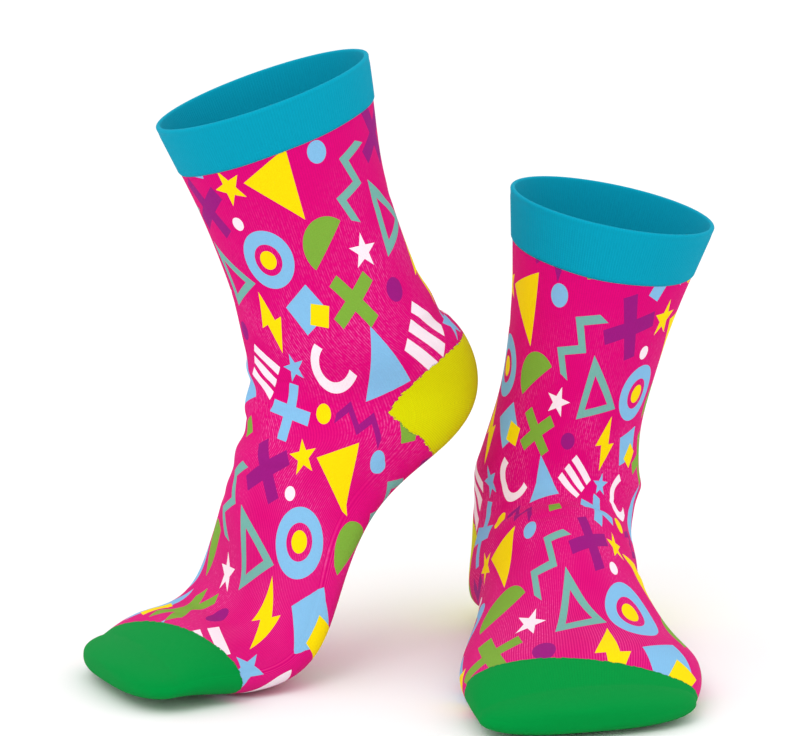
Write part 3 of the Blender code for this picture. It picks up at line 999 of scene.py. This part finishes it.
def knit_finish(name, base, relief, wale_groove_shade=0.0, course_groove_shade=0.0, ground=None):
    """A knitted surface: two legs to each stitch, and painted shade darkening the grooves between
    wales and between courses. A ground gives the colour in place of the base."""
    finish = Finish(name)
    place = finish.map("knit")
    wale, course = finish.parts(place)
    across = wale.math("PINGPONG", wale, 0.5) * 2.0
    leg = across.math("SINE", across * pi)
    slope = (course + across * 0.5) * (2.0 * pi)
    strand = slope.math("SINE", slope) * 0.5 + 0.5
    height = leg**0.6 * (strand * 0.35 + 0.65)
    between = course.math("PINGPONG", course, 0.5) * 2.0
    yarn = finish.noise(finish.vector("MULTIPLY", place, (1.0, 0.35, 1.0)), 1.0, 3.0)
    # Painted shade darkens the grooves between wales and between courses; the yarn noise adds the
    # yarn's own tone at random
    shade = 1.0 - (1.0 - across) ** 3.0 * wale_groove_shade - (yarn - 0.5) * 0.08
    if course_groove_shade:
        shade = shade - (1.0 - between) ** 2.0 * course_groove_shade
    result = ground(finish, wale, across, yarn) if ground else colour(base)[:3]
    finish.drive(
        "Base Color",
        finish.node("ShaderNodeVectorMath", {"operation": "SCALE"}, {0: result, 3: shade}),
    )
    finish.drive("Roughness", (yarn - 0.5) * 0.2 + KNIT_ROUGHNESS)
    bump = finish.node(
        "ShaderNodeBump", None, {"Strength": relief, "Distance": STITCH_RELIEF, "Height": height}
    )
    finish.drive("Normal", bump)
    finish.shader.inputs["Specular IOR Level"].default_value = STITCH_GLOSS
    finish.shader.inputs["Sheen Weight"].default_value = FUZZ
    finish.shader.inputs["Sheen Roughness"].default_value = FUZZ_ROUGHNESS
    return finish.material


def pink_cloth(finish, across, ring):
    """Pink cloth with pale wales in patches, which stand out all round towards the toes, and
    painted shade in the grooves between wales.
    """
    stitches = finish.vector("MULTIPLY", finish.map("knit"), (1.0, 0.45, 1.0))
    fibre = finish.noise(stitches, 1.0, 3.0)
    patch = finish.noise(finish.map("print"), PATCH_SCALE, 2.0)
    pale = across**2.0 * finish.limited((patch - 0.40) * 4.0) * finish.limited(fibre * 4.0 - 1.6)
    pale = pale * either(finish.limited((ring - MARL_START) * MARL_RISE), ring < 0.0)
    stretched = (ring < 0.0) * finish.limited(STRETCHED_REACH + ring * STRETCHED_FADE)
    crest = across**3.0 * stretched * finish.limited(patch * 3.0 - 0.7)
    pale = either(pale, crest * STRETCHED_SHARE)
    result = finish.mix(pale * MARL_SHARE, colour("pink"), colour("pink_light"))
    # Painted shade: the grooves between wales darken towards the pink in shade, more where the
    # knit is stretched
    groove = 1.0 - across
    groove_shade = groove**3.0 * GROOVE_SHADE_SHARE + groove**2.0 * stretched * STRETCHED_GROOVE_SHADE_SHARE
    return finish.mix(finish.limited(groove_shade), result, colour("pink_in_shade"))


def printed_ground(finish, wale, across, yarn):
    """The pink cloth with the print over it; the heel's and the toe cap's yarn comes over
    its edges a stitch or so, with a dark line where they join."""
    heel, ring = finish.parts(finish.map("edge"))
    result = printed(finish, pink_cloth(finish, across, ring))
    toe = 0.0 - ring
    on_foot = ring < SLACK
    stitch = finish.noise(finish.vector("FLOOR", finish.map("knit")), 0.45, 2.0)
    tooth = finish.limited((stitch - 0.38) * 4.0) * TOOTH + (yarn - 0.5) * TOOTH_FRAY
    toe_tooth = tooth * TOE_TOOTH_SHARE
    result = finish.mix(heel < tooth, result, colour("lime"))
    result = finish.mix((toe < toe_tooth) * on_foot, result, colour("green"))
    hem = (ring > -SLACK) * (ring < HEM_WIDTH) * (wale % 2.0 < 1.3)
    heel_seam = abs(heel - tooth - SEAM_WIDTH) < SEAM_WIDTH
    toe_seam = (abs(toe - toe_tooth - TOE_SEAM_WIDTH) < TOE_SEAM_WIDTH) * on_foot
    seam = either(heel_seam, toe_seam, hem)
    return finish.mix(seam * SEAM_SHARE, result, colour("seam"))


def make_stage():
    bpy.ops.mesh.primitive_plane_add(size=FLOOR_SIZE, location=(0.0, 0.0, FLOOR))
    floor = bpy.context.object
    floor.name = "floor"
    paper = Finish("pale_floor")
    grain = paper.noise(paper.node("ShaderNodeTexCoord", None, (), 3), 40.0)
    paper.drive("Roughness", grain * 0.1 + 0.75)
    paper.shader.inputs["Base Color"].default_value = FLOOR_COLOUR
    floor.data.materials.append(paper.material)

    world = bpy.data.worlds.new("studio")
    world.use_nodes = True
    sky = world.node_tree.nodes["Background"]
    sky.inputs["Color"].default_value = STUDIO_WHITE
    sky.inputs["Strength"].default_value = STUDIO_LIGHT
    bpy.context.scene.world = world
    for name, place, size, watts in LAMPS:
        light = bpy.data.lights.new(name, "AREA")
        light.size = size
        light.energy = watts
        lamp = bpy.data.objects.new(name, light)
        lamp.location = place
        aim = Vector(TARGET) - lamp.location
        lamp.rotation_euler = aim.to_track_quat("-Z", "Y").to_euler()
        bpy.context.scene.collection.objects.link(lamp)


def make_camera():
    lens = bpy.data.cameras.new("camera")
    lens.lens = LENS
    camera = bpy.data.objects.new("camera", lens)
    tilt = radians(CAMERA_ELEVATION)
    camera.location = (
        TARGET[0],
        TARGET[1] - CAMERA_DISTANCE * cos(tilt),
        TARGET[2] + CAMERA_DISTANCE * sin(tilt),
    )
    camera.rotation_euler = (pi / 2.0 - tilt, 0.0, 0.0)
    bpy.context.scene.collection.objects.link(camera)
    bpy.context.scene.camera = camera


def main():
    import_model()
    bpy.ops.object.select_all(action="DESELECT")
    # The numbers after the relief set how much painted shade darkens the grooves between wales
    # and between courses
    cuff = knit_finish("cuff_rib", "teal", 0.35, wale_groove_shade=0.10)
    body = knit_finish("printed_knit", "pink", 0.4, wale_groove_shade=0.03, ground=printed_ground)
    # Painted shade: the inside of the tube is coloured with the pink as it looks in shade
    lining = knit_finish("plain_inside_in_shade", "pink_in_shade", 0.5, wale_groove_shade=0.12)
    heel = knit_finish("heel_knit", "lime", 0.5, wale_groove_shade=0.03, course_groove_shade=0.14)
    toe = knit_finish("toe_knit", "green", 0.4, wale_groove_shade=0.08)
    for sock in SOCKS:
        make_cuff(sock, cuff)
        make_body(sock, body, lining)
        make_heel(sock, heel)
        make_toe(sock, toe)
    make_stage()
    make_camera()
    bpy.context.scene.view_settings.view_transform = "Standard"


main()
